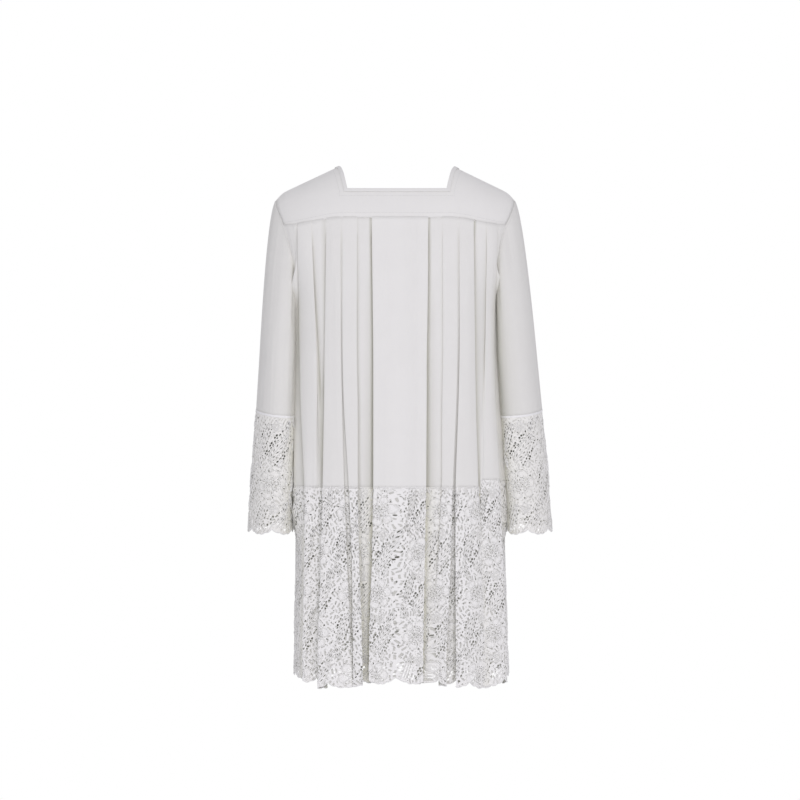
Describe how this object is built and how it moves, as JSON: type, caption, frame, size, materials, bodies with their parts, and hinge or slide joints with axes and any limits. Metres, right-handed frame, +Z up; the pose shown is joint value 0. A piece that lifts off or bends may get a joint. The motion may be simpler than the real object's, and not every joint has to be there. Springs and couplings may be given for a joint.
{
  "type": "lace surplice",
  "caption": "Pleated white surplice, hollow as worn, with a square-necked yoke, set-in sleeves and deep lace at the hem and cuffs.",
  "frame": {"origin": "the middle of the neck opening, level with the shoulder line, where the wearer's shoulders carry the garment", "axes": "+Z up, -Y the way the wearer faces, +X the wearer's left"},
  "size_m": [0.5921, 0.3436, 0.9999],
  "materials": {
    "white_cloth": "smooth plain-woven polyester and cotton, matt with a faint sheen",
    "white_lace": "corded flower lace, matt",
    "white_binding": "narrow woven strip, matt"
  },
  "bodies": {
    "root": {"yoke": "white_cloth", "neck_binding": "white_binding", "back_panel": "white_cloth", "front_panel": "white_cloth", "back_lace": "white_lace", "front_lace": "white_lace", "sleeve_left": "white_cloth", "sleeve_right": "white_cloth", "cuff_band_left": "white_binding", "cuff_band_right": "white_binding", "cuff_lace_left_back": "white_lace", "cuff_lace_left_front": "white_lace", "cuff_lace_right_back": "white_lace", "cuff_lace_right_front": "white_lace"}
  },
  "joints": []
}
